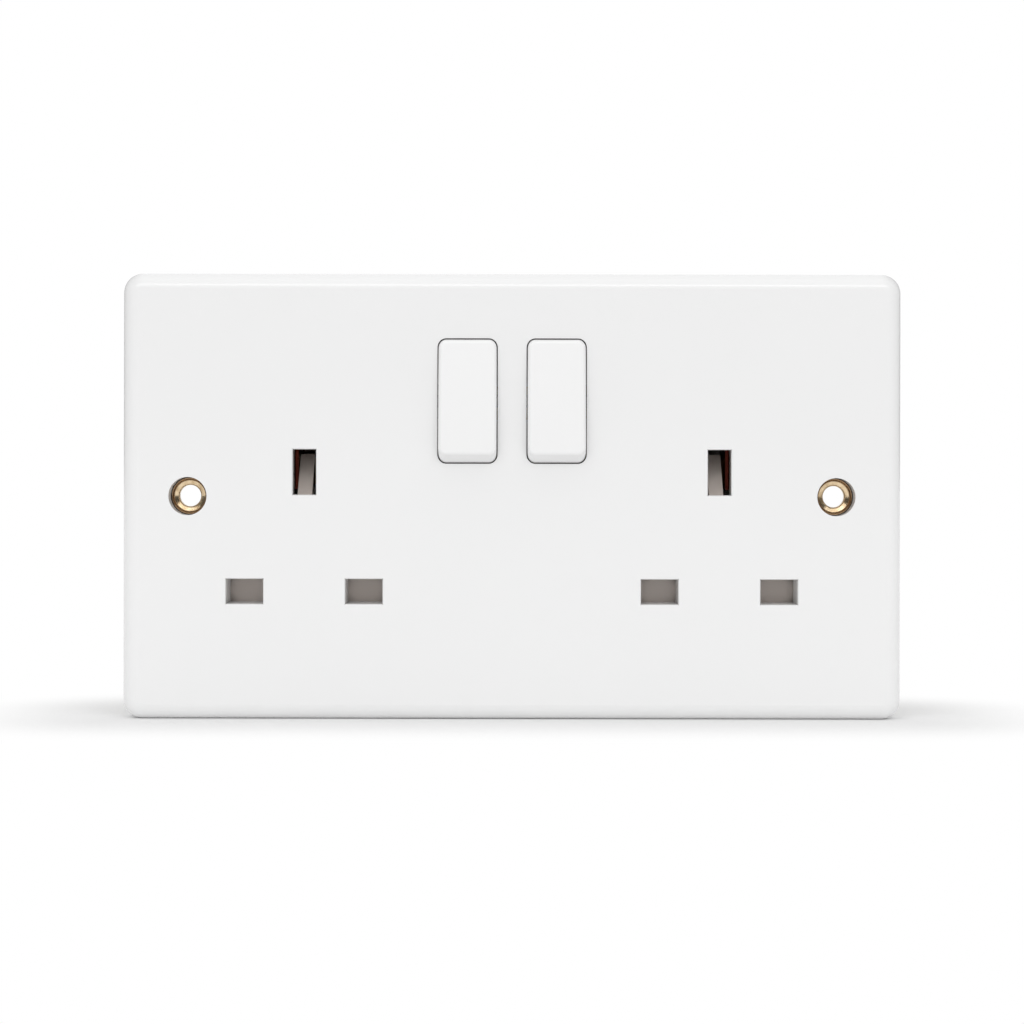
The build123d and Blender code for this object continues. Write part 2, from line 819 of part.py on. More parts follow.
os.makedirs("parts", exist_ok=True)
for name, piece in all_pieces().items():
    export_step(piece, "parts/" + name + ".step")
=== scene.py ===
import json
import math

import bmesh
import bpy
from bpy.props import FloatProperty, FloatVectorProperty, IntProperty, PointerProperty
from mathutils import Matrix, Vector


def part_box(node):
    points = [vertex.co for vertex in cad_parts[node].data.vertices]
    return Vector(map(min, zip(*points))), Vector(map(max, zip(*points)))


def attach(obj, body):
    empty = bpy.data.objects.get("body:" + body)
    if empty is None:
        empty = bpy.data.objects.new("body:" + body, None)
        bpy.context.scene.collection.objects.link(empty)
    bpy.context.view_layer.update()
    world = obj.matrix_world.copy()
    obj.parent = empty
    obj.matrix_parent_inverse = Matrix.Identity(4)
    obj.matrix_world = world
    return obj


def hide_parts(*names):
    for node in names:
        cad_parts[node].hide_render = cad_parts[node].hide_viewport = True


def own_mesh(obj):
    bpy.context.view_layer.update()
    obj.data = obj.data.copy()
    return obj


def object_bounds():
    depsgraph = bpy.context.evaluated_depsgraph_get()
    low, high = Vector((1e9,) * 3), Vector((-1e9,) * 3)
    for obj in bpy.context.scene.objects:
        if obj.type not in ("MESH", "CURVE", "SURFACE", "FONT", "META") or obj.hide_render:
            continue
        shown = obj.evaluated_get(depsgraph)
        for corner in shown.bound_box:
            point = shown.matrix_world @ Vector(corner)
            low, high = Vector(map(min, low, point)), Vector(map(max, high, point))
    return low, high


bl_info = {
    "name": "Switched socket",
    "version": (1, 0, 0),
    "blender": (4, 5, 0),
    "location": "3D View > Sidebar > Socket",
    "description": "Finishes a two-gang switched socket and sets it up for a studio picture",
    "category": "Object",
}

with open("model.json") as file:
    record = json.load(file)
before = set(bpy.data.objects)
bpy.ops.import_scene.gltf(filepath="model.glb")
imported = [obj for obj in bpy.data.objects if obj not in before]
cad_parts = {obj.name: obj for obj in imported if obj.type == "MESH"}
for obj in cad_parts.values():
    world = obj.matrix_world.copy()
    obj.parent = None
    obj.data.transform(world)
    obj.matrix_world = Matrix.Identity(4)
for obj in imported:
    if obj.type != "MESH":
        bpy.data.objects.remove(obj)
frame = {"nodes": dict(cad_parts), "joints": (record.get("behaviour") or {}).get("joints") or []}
cad_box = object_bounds()

MM = 0.001

# Vertices nearer to each other than this are one, and edges sharper than this stay sharp
MERGE_DISTANCE = 0.001 * MM
SHARP_ANGLE = math.radians(40)

# A wave texture of scale 1 repeats after this length
WAVE_REPEAT = math.tau / 20

# Font size for capitals one unit high
FONT_SIZE_OF_CAPITAL = 1.4

# Nodes of the frame by what they are made of
PLATE = ["front_plate"]
ROCKERS = ["rocker_left", "rocker_right"]
FLAGS = ["on_flag_left", "on_flag_right"]
HOUSING = ["base_moulding"]
SHUTTERS = ["shutter_left", "shutter_right"]
PLUNGERS = ["plunger_left", "plunger_right"]
EYELETS = ["eyelet_left", "eyelet_right"]
TERMINALS = ["neutral_terminal", "earth_terminal", "line_terminal"]
STRIPS = ["line_bar", "neutral_bar", "earth_strap", "line_link_left", "line_link_right"]
STRIPS += ["moving_contact_left", "moving_contact_right"]
SPRUNG_CONTACTS = ["line_contact_left", "line_contact_right", "neutral_contact_left"]
SPRUNG_CONTACTS += ["neutral_contact_right", "earth_contact_left", "earth_contact_right"]
TIPS = ["moving_tip_left", "moving_tip_right", "fixed_tip_left", "fixed_tip_right"]
SCREWS = ["base_screws", "neutral_terminal_screw", "earth_terminal_screw", "line_terminal_screw"]
SPRINGS = ["rocker_spring_left", "rocker_spring_right"]
SPRINGS += ["shutter_spring_left", "shutter_spring_right"]


def linear(colour):
    """Linear RGBA of an sRGB colour written as six hex digits."""
    channels = []
    for start in (0, 2, 4):
        value = int(colour[start:start + 2], 16) / 255
        channels.append(value / 12.92 if value <= 0.04045 else ((value + 0.055) / 1.055) ** 2.4)
    return (*channels, 1.0)


def per_metre(size):
    """Texture scale for features of that size in metres."""
    return 1.0 / size


def add(tree, kind, inputs=None, **settings):
    """Add one node: settings are its own, inputs are values or sockets to link, by name."""
    node = tree.nodes.new(kind)
    for name, value in settings.items():
        setattr(node, name, value)
    for name, value in (inputs or {}).items():
        socket = node.inputs[name]
        if isinstance(value, bpy.types.NodeSocket):
            tree.links.new(value, socket)
        else:
            socket.default_value = value
    return node


def new_material(name):
    """Empty node material and its tree."""
    material = bpy.data.materials.new(name)
    material.use_nodes = True
    material.node_tree.nodes.clear()
    return material, material.node_tree


def finish_surface(tree, inputs):
    """Principled surface with these inputs, wired to the output."""
    shader = add(tree, "ShaderNodeBsdfPrincipled", inputs)
    add(tree, "ShaderNodeOutputMaterial", {"Surface": shader.outputs["BSDF"]})


def paint(names, material):
    """Give these CAD nodes the material in all their slots."""
    for name in names:
        mesh = frame["nodes"][name].data
        if not mesh.materials:
            mesh.materials.append(material)
        for index in range(len(mesh.materials)):
            mesh.materials[index] = material


def moulded_plastic(
    name, colour, shade, gloss, peel, peel_depth, joint_width=0.7 * MM, painted_shade_reach=0.45
):
    """Moulded thermoset or thermoplastic: a faint orange peel, and gloss that varies a little.

    The peel makes the reflections of the lamps waver, and the two near colours stand for the
    slight cloudiness of the resin. Painted shade: where joints and recesses are narrower than
    joint_width, the colour goes to a dark brown, starting where less than painted_shade_reach
    of the surface's view is open, so narrow joints show as dark lines.
    The peel's spacing and depth are real sizes in metres.
    """
    cloud_width = 24 * peel
    wear_width = 8 * peel
    polished = gloss * 0.85
    worn = gloss * 1.2
    full_painted_shade = painted_shade_reach * 0.3
    # Painted shade: the dark brown that closed joints and recesses are coloured
    painted_shade_colour = linear("2A201C")
    material, tree = new_material(name)
    place = add(tree, "ShaderNodeTexCoord").outputs["Object"]
    cloud = add(
        tree,
        "ShaderNodeTexNoise",
        {"Vector": place, "Scale": per_metre(cloud_width), "Detail": 3.0},
    )
    tone = add(
        tree,
        "ShaderNodeMix",
        {"Factor": cloud.outputs["Fac"], "A": colour, "B": shade},
        data_type="RGBA",
    )
    # Painted shade: ambient occlusion within joint_width turns the colour towards that brown
    openness = add(tree, "ShaderNodeAmbientOcclusion", {"Distance": joint_width}, samples=8)
    painted_shade_mask = add(
        tree,
        "ShaderNodeMapRange",
        {
            "Value": openness.outputs["AO"],
            "From Min": full_painted_shade,
            "From Max": painted_shade_reach,
            "To Min": 1.0,
            "To Max": 0.0,
        },
    )
    with_painted_shade = add(
        tree,
        "ShaderNodeMix",
        {"Factor": painted_shade_mask.outputs["Result"], "A": tone.outputs["Result"], "B": painted_shade_colour},
        data_type="RGBA",
    )
    handled = add(
        tree,
        "ShaderNodeTexNoise",
        {"Vector": place, "Scale": per_metre(wear_width), "Detail": 4.0},
    )
    roughness = add(
        tree,
        "ShaderNodeMapRange",
        {"Value": handled.outputs["Fac"], "To Min": polished, "To Max": worn},
    )
    ripple = add(
        tree, "ShaderNodeTexNoise", {"Vector": place, "Scale": per_metre(peel), "Detail": 1.5}
    )
    bump = add(
        tree,
        "ShaderNodeBump",
        {"Height": ripple.outputs["Fac"], "Distance": peel_depth, "Strength": 1.0},
    )
    finish_surface(
        tree,
        {
            "Base Color": with_painted_shade.outputs["Result"],
            "Roughness": roughness.outputs["Result"],
            "IOR": 1.5,
            "Normal": bump.outputs["Normal"],
        },
    )
    return material


def rolled_brass(name, colour, tarnish, centre_offset, ring_pitch, clean_radius, brown_radius):
    """Bright drawn brass: tool rings round the eyelet's axis and a little brown tarnish.

    The left half of the socket is folded onto the right one, so the rings of both eyelets have
    their middle centre_offset from the socket's. Painted shade: from clean_radius to
    brown_radius the colour goes more and more to a brown that stands for the shade and dark
    reflections the rim has deep in its counterbore.
    """
    ring_depth = 0.01 * MM
    stain_width = 1.4 * MM
    # Painted shade: the brown the rim of each eyelet is coloured
    film = linear("A1876C")
    material, tree = new_material(name)
    place = add(tree, "ShaderNodeTexCoord").outputs["Object"]
    folded = add(tree, "ShaderNodeVectorMath", {0: place}, operation="ABSOLUTE")
    centred = add(
        tree,
        "ShaderNodeMapping",
        {"Vector": folded.outputs["Vector"], "Location": (-centre_offset, 0.0, 0.0)},
    )
    rings = add(
        tree,
        "ShaderNodeTexWave",
        {
            "Vector": centred.outputs["Vector"],
            "Scale": per_metre(ring_pitch) * WAVE_REPEAT,
            "Distortion": 1.5,
            "Detail": 2.0,
            "Detail Scale": 2.0,
        },
        wave_type="RINGS",
        rings_direction="Y",
    )
    bump = add(
        tree,
        "ShaderNodeBump",
        {"Height": rings.outputs["Fac"], "Distance": ring_depth, "Strength": 0.3},
    )
    across = add(
        tree,
        "ShaderNodeVectorMath",
        {0: centred.outputs["Vector"], 1: (1.0, 0.0, 1.0)},
        operation="MULTIPLY",
    )
    radius = add(tree, "ShaderNodeVectorMath", {0: across.outputs["Vector"]}, operation="LENGTH")
    # Painted shade: towards the rim the colour goes to that brown
    edge = add(
        tree,
        "ShaderNodeMapRange",
        {"Value": radius.outputs["Value"], "From Min": clean_radius, "From Max": brown_radius},
    )
    stain = add(
        tree,
        "ShaderNodeTexNoise",
        {"Vector": place, "Scale": per_metre(stain_width), "Detail": 5.0},
    )
    patchy = add(
        tree,
        "ShaderNodeMapRange",
        {"Value": stain.outputs["Fac"], "From Min": 0.45, "From Max": 0.75},
    )
    mottled = add(
        tree,
        "ShaderNodeMix",
        {"Factor": patchy.outputs["Result"], "A": colour, "B": tarnish},
        data_type="RGBA",
    )
    tone = add(
        tree,
        "ShaderNodeMix",
        {"Factor": edge.outputs["Result"], "A": mottled.outputs["Result"], "B": film},
        data_type="RGBA",
    )
    roughness = add(
        tree,
        "ShaderNodeMapRange",
        {"Value": stain.outputs["Fac"], "To Min": 0.08, "To Max": 0.24},
    )
    finish_surface(
        tree,
        {
            "Base Color": tone.outputs["Result"],
            "Metallic": 1.0,
            "Roughness": roughness.outputs["Result"],
            "Normal": bump.outputs["Normal"],
        },
    )
    return material


def strip_metal(name, colour, shade, roughness, grain_width, grain_stretch):
    """Rolled or drawn metal with a grain along Z: long fine lines that blur the reflections.

    The real lines are too fine to show, so they are drawn coarser: grain_width wide in metres,
    and grain_stretch times as long.
    """
    grain_depth = 0.004 * MM
    polished = roughness * 0.75
    dull = roughness * 1.3
    material, tree = new_material(name)
    place = add(tree, "ShaderNodeTexCoord").outputs["Object"]
    stretched = add(
        tree, "ShaderNodeMapping", {"Vector": place, "Scale": (1.0, 1.0, 1.0 / grain_stretch)}
    )
    grain = add(
        tree,
        "ShaderNodeTexNoise",
        {"Vector": stretched.outputs["Vector"], "Scale": per_metre(grain_width), "Detail": 3.0},
    )
    tone = add(
        tree,
        "ShaderNodeMix",
        {"Factor": grain.outputs["Fac"], "A": colour, "B": shade},
        data_type="RGBA",
    )
    worn = add(
        tree,
        "ShaderNodeMapRange",
        {"Value": grain.outputs["Fac"], "To Min": polished, "To Max": dull},
    )
    bump = add(
        tree,
        "ShaderNodeBump",
        {"Height": grain.outputs["Fac"], "Distance": grain_depth, "Strength": 0.7},
    )
    finish_surface(
        tree,
        {
            "Base Color": tone.outputs["Result"],
            "Metallic": 1.0,
            "Roughness": worn.outputs["Result"],
            "Normal": bump.outputs["Normal"],
        },
    )
    return material


def zinc_plate(name, colour, shade):
    """Bright zinc plating with a passivation film: small spangle cells and a satin gloss."""
    cell_width = 0.35 * MM
    material, tree = new_material(name)
    place = add(tree, "ShaderNodeTexCoord").outputs["Object"]
    cells = add(tree, "ShaderNodeTexVoronoi", {"Vector": place, "Scale": per_metre(cell_width)})
    tone = add(
        tree,
        "ShaderNodeMix",
        {"Factor": cells.outputs["Distance"], "A": colour, "B": shade},
        data_type="RGBA",
    )
    roughness = add(
        tree,
        "ShaderNodeMapRange",
        {"Value": cells.outputs["Distance"], "To Min": 0.28, "To Max": 0.45},
    )
    finish_surface(
        tree,
        {
            "Base Color": tone.outputs["Result"],
            "Metallic": 1.0,
            "Roughness": roughness.outputs["Result"],
        },
    )
    return material


def new_piece(name, mesh, material, body):
    """Object for a finished mesh that already lies in place."""
    mesh.materials.clear()
    mesh.materials.append(material)
    piece = bpy.data.objects.new(name, mesh)
    bpy.context.scene.collection.objects.link(piece)
    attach(piece, body)
    return piece


def spin_section(shape, section, steps, place):
    """Closed section of radii and heights, spun about Z and then set in place.

    What it makes is tagged, so the next section in the same bmesh leaves it where it is.
    """
    verts = [shape.verts.new((x, 0, z)) for x, z in section]
    edges = [shape.edges.new(pair) for pair in zip(verts, verts[1:] + verts[:1])]
    bmesh.ops.spin(
        shape,
        geom=verts + edges,
        cent=(0, 0, 0),
        axis=(0, 0, 1),
        angle=math.tau,
        steps=steps,
        use_merge=True,
    )
    made = [vert for vert in shape.verts if not vert.tag]
    bmesh.ops.transform(shape, matrix=place, verts=made)
    for vert in made:
        vert.tag = True


def mesh_from(shape, name):
    """Mesh of a bmesh with its normals outwards, smooth where the faces meet gently."""
    bmesh.ops.remove_doubles(shape, verts=shape.verts, dist=MERGE_DISTANCE)
    bmesh.ops.recalc_face_normals(shape, faces=shape.faces)
    for face in shape.faces:
        face.smooth = True
    mesh = bpy.data.meshes.new(name)
    shape.to_mesh(mesh)
    shape.free()
    mesh.set_sharp_from_angle(angle=SHARP_ANGLE)
    return mesh


class SocketFinishes(bpy.types.PropertyGroup):
    """Colours and surface sizes of the socket's materials."""

    plate_colour: FloatVectorProperty(
        name="Plate",
        description="White of the front plate",
        subtype="COLOR",
        size=4,
        min=0.0,
        max=1.0,
        default=linear("F2F2F2"),
    )
    rocker_colour: FloatVectorProperty(
        name="Rockers",
        description="White of the rockers",
        subtype="COLOR",
        size=4,
        min=0.0,
        max=1.0,
        default=linear("F4F4F4"),
    )
    housing_colour: FloatVectorProperty(
        name="Housing",
        description="Off-white of the housing behind the plate",
        subtype="COLOR",
        size=4,
        min=0.0,
        max=1.0,
        default=linear("E6E4DE"),
    )
    shutter_colour: FloatVectorProperty(
        name="Shutters",
        description="Off-white of the shutters",
        subtype="COLOR",
        size=4,
        min=0.0,
        max=1.0,
        default=linear("E4DAD3"),
    )
    brass_colour: FloatVectorProperty(
        name="Brass",
        description="Clean brass of the eyelets",
        subtype="COLOR",
        size=4,
        min=0.0,
        max=1.0,
        default=linear("E6CFAC"),
    )
    peel_spacing: FloatProperty(
        name="Peel spacing",
        description="Distance between the ripples of the moulded surface",
        unit="LENGTH",
        min=0.2 * MM,
        default=1.8 * MM,
    )
    peel_depth: FloatProperty(
        name="Peel depth",
        description="Height of the ripples of the moulded surface",
        unit="LENGTH",
        min=0.0,
        default=0.004 * MM,
    )
    gloss_roughness: FloatProperty(
        name="Gloss",
        description="Roughness of the plate and rockers",
        min=0.02,
        max=1.0,
        default=0.16,
    )


class SocketMarks(bpy.types.PropertyGroup):
    """Sizes of the raised marks on the back of the housing."""

    letter_height: FloatProperty(
        name="Letter height",
        description="Height of the terminal letters",
        unit="LENGTH",
        default=4.2 * MM,
    )
    letter_rise: FloatProperty(
        name="Letter rise",
        description="How far the letters stand off the housing",
        unit="LENGTH",
        default=0.35 * MM,
    )
    letter_lift: FloatProperty(
        name="Letter place",
        description="Height of the letters' feet above the terminal screws' centres",
        unit="LENGTH",
        default=5.0 * MM,
    )
    letter_weight: FloatProperty(
        name="Letter weight",
        description="How much wider the strokes are on each side than in the font",
        unit="LENGTH",
        default=0.12 * MM,
    )
    letter_edge: FloatProperty(
        name="Letter edge",
        description="Radius of the letters' rounded edges",
        unit="LENGTH",
        default=0.08 * MM,
    )
    ring_radius: FloatProperty(
        name="Ejector ring",
        description="Radius of the rings that ejector pins leave",
        unit="LENGTH",
        default=2.2 * MM,
    )
    ring_width: FloatProperty(
        name="Ring width",
        description="Width of the ejector rings",
        unit="LENGTH",
        default=0.3 * MM,
    )
    ring_rise: FloatProperty(
        name="Ring rise",
        description="How far the ejector rings stand off the housing",
        unit="LENGTH",
        default=0.12 * MM,
    )
    ring_steps: IntProperty(
        name="Ring steps",
        description="Number of steps round an ejector ring",
        min=12,
        default=48,
    )


class SocketStudio(bpy.types.PropertyGroup):
    """Camera, lamps, room light and floor of the picture."""

    camera_distance: FloatProperty(
        name="Camera distance",
        description="From the plate's face to the camera",
        unit="LENGTH",
        default=486.0 * MM,
    )
    camera_height: FloatProperty(
        name="Camera height",
        description="How far the camera is above the plate's middle",
        unit="LENGTH",
        default=8.0 * MM,
    )
    frame_drop: FloatProperty(
        name="Frame drop",
        description="How far the middle of the picture is below the plate's middle",
        unit="LENGTH",
        default=2.86 * MM,
    )
    camera_lens: FloatProperty(
        name="Lens",
        description="Focal length in millimetres on a 36 mm sensor",
        default=91.95,
    )
    camera_roll: FloatProperty(
        name="Camera roll",
        description="Small turn of the camera about its own axis",
        subtype="ANGLE",
        default=math.radians(0.106),
    )
    lamp_power: FloatProperty(
        name="Overhead lamp",
        description="Power of the soft lamp above, in watts",
        min=0.0,
        default=0.3,
    )
    lamp_elevation: FloatProperty(
        name="Overhead lamp height",
        description="How high the overhead lamp stands over the camera's line",
        subtype="ANGLE",
        default=math.radians(72),
    )
    lamp_depth: FloatProperty(
        name="Overhead lamp depth",
        description="Size of the overhead lamp across its width",
        unit="LENGTH",
        default=0.4,
    )
    lamp_size: FloatProperty(
        name="Lamp size",
        description="Width of the soft lamps",
        unit="LENGTH",
        default=1.2,
    )
    lamp_distance: FloatProperty(
        name="Lamp distance",
        description="From the plate's middle to the soft lamps",
        unit="LENGTH",
        default=1.0,
    )
    front_lamp_power: FloatProperty(
        name="Front lamp",
        description="Power of the soft lamp above the camera, in watts",
        min=0.0,
        default=1.9,
    )
    front_lamp_elevation: FloatProperty(
        name="Front lamp height",
        description="How high the front lamp stands over the camera's line",
        subtype="ANGLE",
        default=math.radians(30),
    )
    front_lamp_depth: FloatProperty(
        name="Front lamp depth",
        description="Size of the front lamp across its width",
        unit="LENGTH",
        default=0.2,
    )
    side_shade: FloatProperty(
        name="Sides",
        description="Strength of the room to the left and right, against the rest of it",
        min=0.0,
        max=1.0,
        default=0.4,
    )
    dark_side_shade: FloatProperty(
        name="Dark sides",
        description="Strength of the sides and the camera's place in glossy reflections",
        min=0.0,
        max=1.0,
        default=0.06,
    )
    world_strength: FloatProperty(
        name="Room light",
        description="Strength of the even light from all round",
        min=0.0,
        default=0.93,
    )
    floor_width: FloatProperty(
        name="Floor",
        description="Width of the floor",
        unit="LENGTH",
        default=8.0,
    )


class SOCKET_OT_mouldings(bpy.types.Operator):
    """Give the plate, rockers, housing and smaller mouldings their plastics"""

    bl_idname = "socket.mouldings"
    bl_label = "Finish mouldings"

    def execute(self, context):
        finishes = context.scene.socket_finishes
        peel = finishes.peel_spacing
        depth = finishes.peel_depth
        gloss = finishes.gloss_roughness

        # Urea formaldehyde from a polished mould: hard, cold white and glossy
        plate = moulded_plastic(
            "urea_gloss_plate",
            finishes.plate_colour,
            linear("F0F0F0"),
            gloss,
            peel,
            depth,
            # Painted shade: darker where the plate meets the rockers, eyelets and slot walls
            joint_width=0.4 * MM,
            painted_shade_reach=0.8,
        )
        paint(PLATE, plate)

        # The same resin in a smaller mould, a shade paler
        rocker = moulded_plastic(
            "urea_gloss_rocker",
            finishes.rocker_colour,
            linear("F2F2F2"),
            gloss,
            peel,
            depth,
            # Painted shade: darker along the rockers' sides and ends in their openings
            joint_width=1.4 * MM,
            painted_shade_reach=0.9,
        )
        paint(ROCKERS, rocker)

        # Nylon from a spark-eroded mould: satin, and a little yellow
        housing = moulded_plastic(
            "nylon_satin_housing",
            finishes.housing_colour,
            linear("DFDCD4"),
            gloss=0.42,
            peel=peel / 3,
            peel_depth=depth,
        )
        paint(HOUSING, housing)

        # Acetal that slides without grease: waxy, off-white, with a soft sheen
        shutter = moulded_plastic(
            "acetal_satin_shutter",
            finishes.shutter_colour,
            linear("DBCFC6"),
            gloss=0.35,
            peel=peel / 3,
            peel_depth=depth,
            # Painted shade: darker across the shutters, deep in their slots
            joint_width=2.6 * MM,
        )
        paint(SHUTTERS, shutter)

        # Unfilled nylon, cream and slightly soft in its gloss
        plunger = moulded_plastic(
            "nylon_plunger",
            linear("E2DAC4"),
            linear("D6CCB2"),
            gloss=0.38,
            peel=peel / 3,
            peel_depth=depth,
        )
        paint(PLUNGERS, plunger)

        # Signal red acrylonitrile moulding that shows when a rocker is on
        flag = moulded_plastic(
            "abs_red_flag",
            linear("C4201C"),
            linear("AE1815"),
            gloss=0.25,
            peel=peel / 2,
            peel_depth=depth,
        )
        paint(FLAGS, flag)
        return {"FINISHED"}


class SOCKET_OT_eyelets(bpy.types.Operator):
    """Press the eyelets of the fixing holes from brass"""

    bl_idname = "socket.eyelets"
    bl_label = "Press eyelets"
    bore = 2.0 * MM
    sheet = 0.45 * MM
    shelf_depth = 0.5 * MM
    rim_gain = 0.1 * MM
    steps_round = 96

    def execute(self, context):
        finishes = context.scene.socket_finishes
        low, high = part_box(EYELETS[1])

        # Drawn brass, rolled over by a tool: bright rings, with painted brown shade on the rim
        brass = rolled_brass(
            "rolled_brass_eyelet",
            finishes.brass_colour,
            linear("B3966E"),
            centre_offset=(low.x + high.x) / 2,
            ring_pitch=0.12 * MM,
            clean_radius=2.75 * MM,
            brown_radius=3.0 * MM,
        )
        paint(EYELETS, brass)
        for name in EYELETS:
            self.eyelet(name, brass)
        return {"FINISHED"}

    def eyelet(self, name, material):
        """Eyelet as it leaves the press: a dished rim, a funnelled shelf, a barrel and its roll.

        It lies in the CAD node's place and has its height. Its rim nearly fills the counterbore.
        """
        low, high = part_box(name)
        rim = (high.x - low.x) / 2 + self.rim_gain
        length = high.y - low.y
        bore, sheet, shelf = self.bore, self.sheet, self.shelf_depth
        # Radius and depth: the rounded mouth of the bore, the shelf, its wall and the rim
        front = [
            (bore, shelf + 0.5 * MM),
            (bore + 0.04 * MM, shelf + 0.36 * MM),
            (bore + 0.13 * MM, shelf + 0.26 * MM),
            (bore + 0.28 * MM, shelf + 0.18 * MM),
            (rim - 0.6 * MM, shelf + 0.03 * MM),
            (rim - 0.5 * MM, shelf - 0.02 * MM),
            (rim - 0.42 * MM, shelf - 0.13 * MM),
            (rim - 0.26 * MM, 0.07 * MM),
            (rim - 0.2 * MM, 0.01 * MM),
            (rim - 0.12 * MM, 0.0),
            (rim - 0.03 * MM, 0.05 * MM),
            (rim, 0.14 * MM),
        ]
        # The underside of the rim and shelf, the barrel and the lip that is rolled outwards
        back = [
            (rim, sheet),
            (rim - 0.5 * MM, shelf + sheet),
            (bore + sheet, shelf + sheet),
            (bore + sheet, length - sheet),
            (bore + 2 * sheet, length - 0.8 * sheet),
            (bore + 2 * sheet, length - 0.2 * sheet),
            (bore + 1.8 * sheet, length),
            (bore + 1.2 * sheet, length),
            (bore + 0.5 * sheet, length - 0.3 * sheet),
            (bore, length - sheet),
        ]
        centre = (low + high) / 2
        turn = Matrix.Rotation(math.radians(-90), 4, "X")
        place = Matrix.Translation((centre.x, low.y, centre.z)) @ turn
        shape = bmesh.new()
        spin_section(shape, front + back, self.steps_round, place)
        mesh = mesh_from(shape, name + "_rolled")
        piece = new_piece(name + "_rolled", mesh, material, "root")
        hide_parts(name)


class SOCKET_OT_metals(bpy.types.Operator):
    """Give the terminals, strips, contacts and screws their metals"""

    bl_idname = "socket.metals"
    bl_label = "Finish metals"

    def execute(self, context):
        # Extruded brass bar, sawn and drilled: dull yellow with a fine straight grain
        block = strip_metal(
            "brass_bar_terminal",
            linear("D8B878"),
            linear("C19C5B"),
            roughness=0.34,
            grain_width=0.25 * MM,
            grain_stretch=8.0,
        )
        paint(TERMINALS, block)

        # Half-hard brass strip, pressed: yellow, with the mill's long rolling lines
        strip = strip_metal(
            "brass_strip_pressed",
            linear("DDBB74"),
            linear("C8A25A"),
            roughness=0.28,
            grain_width=0.2 * MM,
            grain_stretch=14.0,
        )
        paint(STRIPS, strip)

        # Phosphor bronze spring strip: redder and darker than the brass
        bronze = strip_metal(
            "phosphor_bronze_strip",
            linear("74352A"),
            linear("52241D"),
            roughness=0.34,
            grain_width=0.2 * MM,
            grain_stretch=14.0,
        )
        paint(SPRUNG_CONTACTS, bronze)

        # Silver alloy rivets, coined: very pale, with a soft grey bloom
        silver = strip_metal(
            "silver_contact_coined",
            linear("EFEDE6"),
            linear("CFCDC8"),
            roughness=0.22,
            grain_width=0.15 * MM,
            grain_stretch=2.0,
        )
        paint(TIPS, silver)

        # Steel screws in bright zinc: bluish grey and satin
        zinc = zinc_plate("zinc_plated_steel", linear("CDD0D2"), linear("A9ADB1"))
        paint(SCREWS, zinc)
        return {"FINISHED"}


class SOCKET_OT_springs(bpy.types.Operator):
    """Wind the springs of the shutters and rockers from round wire"""

    bl_idname = "socket.springs"
    bl_label = "Wind springs"
    wire_sides = 10
    steps_per_turn = 28

    def execute(self, context):
        # Drawn spring wire, dark grey with long die lines
        spring = strip_metal(
            "spring_wire_drawn",
            linear("A3A5A8"),
            linear("7F8286"),
            roughness=0.3,
            grain_width=0.1 * MM,
            grain_stretch=10.0,
        )
        paint(SPRINGS, spring)
        for side in ("left", "right"):
            self.coil_spring(
                "shutter_spring_" + side,
                "shutter_slide_" + side,
                "root",
                spring,
                radius=1.5 * MM,
                wire=0.5 * MM,
                turns=7,
            )
            self.coil_spring(
                "rocker_spring_" + side,
                "plunger_slide_" + side,
                "rocker_" + side,
                spring,
                radius=0.85 * MM,
                wire=0.35 * MM,
                turns=5,
            )
        return {"FINISHED"}

    def coil_spring(self, name, joint_name, body, material, radius, wire, turns):
        """Round-wire spring in the CAD node's place, which its joint presses to its fixed end."""
        joint = next(row for row in frame["joints"] if row["name"] == joint_name)
        push = Vector(joint["axis"]).normalized()
        node = frame["nodes"][name]
        low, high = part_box(name)
        centre = (low + high) / 2
        reach = [(node.matrix_world @ vert.co - centre).dot(push) for vert in node.data.vertices]
        length = max(reach) - min(reach)

        shape = bmesh.new()
        bmesh.ops.create_circle(
            shape,
            segments=self.wire_sides,
            radius=wire / 2,
            matrix=Matrix.Translation((radius, 0, wire / 2))
            @ Matrix.Rotation(math.radians(90), 4, "X"),
        )
        steps = turns * self.steps_per_turn
        bmesh.ops.spin(
            shape,
            geom=shape.verts[:] + shape.edges[:],
            cent=(0, 0, 0),
            axis=(0, 0, 1),
            dvec=(0, 0, (length - wire) / steps),
            angle=math.tau * turns,
            steps=steps,
            use_merge=False,
        )
        ends = [edge for edge in shape.edges if edge.is_boundary]
        bmesh.ops.edgeloop_fill(shape, edges=ends)
        turn = push.to_track_quat("Z", "Y").to_matrix().to_4x4()
        place = Matrix.Translation(centre + push * min(reach)) @ turn
        bmesh.ops.transform(shape, matrix=place, verts=shape.verts)
        mesh = mesh_from(shape, name + "_coil")
        piece = new_piece(name + "_coil", mesh, material, body)
        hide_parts(name)
        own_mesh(piece)


def from_behind(x, z, y):
    """Place on the back of the housing for a flat shape that is read from behind."""
    turn = Matrix(((-1, 0, 0, 0), (0, 0, 1, 0), (0, 1, 0, 0), (0, 0, 0, 1)))
    return Matrix.Translation((x, y, z)) @ turn


